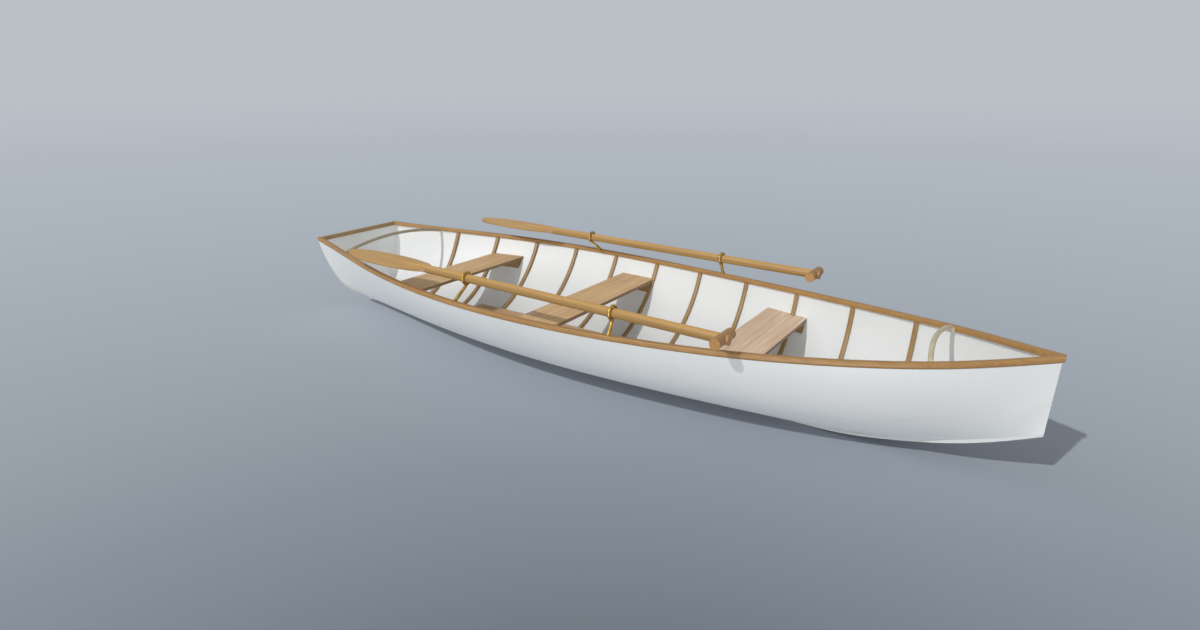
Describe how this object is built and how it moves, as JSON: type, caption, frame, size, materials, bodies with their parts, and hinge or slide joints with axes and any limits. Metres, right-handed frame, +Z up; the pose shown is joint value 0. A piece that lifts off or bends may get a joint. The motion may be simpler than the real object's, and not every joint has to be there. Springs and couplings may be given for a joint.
{
  "type": "rowing boat",
  "caption": "Round-bilged wooden rowing boat with transom stern, plumb stem, steamed ribs, thwarts, bottom boards, brass ring oarlocks and oars with crosswise grips.",
  "frame": {"origin": "on the centreline at the middle rib, in the plane of the water that the empty boat floats in", "axes": "+X forward to the bow, +Y to port, +Z up"},
  "size_m": [4.3468, 1.363, 0.6246],
  "materials": {
    "white_paint": "white gloss paint over smooth planking",
    "varnished_timber": "satin varnish, honey brown",
    "seat_timber": "matt oil, light brown",
    "pale_timber": "bare pale timber",
    "brass": "worn satin"
  },
  "bodies": {
    "hull": {"hull_shell": "white_paint", "stem": "white_paint", "keel": "white_paint", "transom": "white_paint", "rib_01": "varnished_timber", "rib_02": "varnished_timber", "rib_03": "varnished_timber", "rib_04": "varnished_timber", "rib_05": "varnished_timber", "rib_06": "varnished_timber", "rib_07": "varnished_timber", "rib_08": "varnished_timber", "rib_09": "varnished_timber", "rib_10": "varnished_timber", "rib_11": "varnished_timber", "gunwale_port": "varnished_timber", "gunwale_starboard": "varnished_timber", "transom_cap": "varnished_timber", "oarlock_aft_port": "brass", "oarlock_forward_port": "brass", "bracket_aft_port": "seat_timber", "bracket_middle_port": "seat_timber", "bracket_forward_port": "seat_timber", "oarlock_aft_starboard": "brass", "oarlock_forward_starboard": "brass", "bracket_aft_starboard": "seat_timber", "bracket_middle_starboard": "seat_timber", "bracket_forward_starboard": "seat_timber", "thwart_aft": "seat_timber", "thwart_middle": "seat_timber", "thwart_forward": "seat_timber", "bottom_board_1": "seat_timber", "bottom_board_2": "seat_timber", "bottom_board_3": "seat_timber", "bottom_board_4": "seat_timber", "floor_bearer_1": "seat_timber", "floor_bearer_2": "seat_timber", "floor_bearer_3": "seat_timber", "floor_bearer_4": "seat_timber", "floor_bearer_5": "seat_timber", "floor_bearer_6": "seat_timber", "bow_hoop": "pale_timber", "stern_hoop": "pale_timber"},
    "oar_port": {"oar_port": "varnished_timber", "oar_grip_port": "varnished_timber"},
    "oar_starboard": {"oar_starboard": "varnished_timber", "oar_grip_starboard": "varnished_timber"}
  },
  "joints": [
    {"name": "oar_port_slide", "type": "slide", "parent": "hull", "child": "oar_port", "axis": [1, 0, 0], "range_m": [-0.5, 0.28]},
    {"name": "oar_starboard_slide", "type": "slide", "parent": "hull", "child": "oar_starboard", "axis": [1, 0, 0], "range_m": [-0.5, 0.28]}
  ]
}
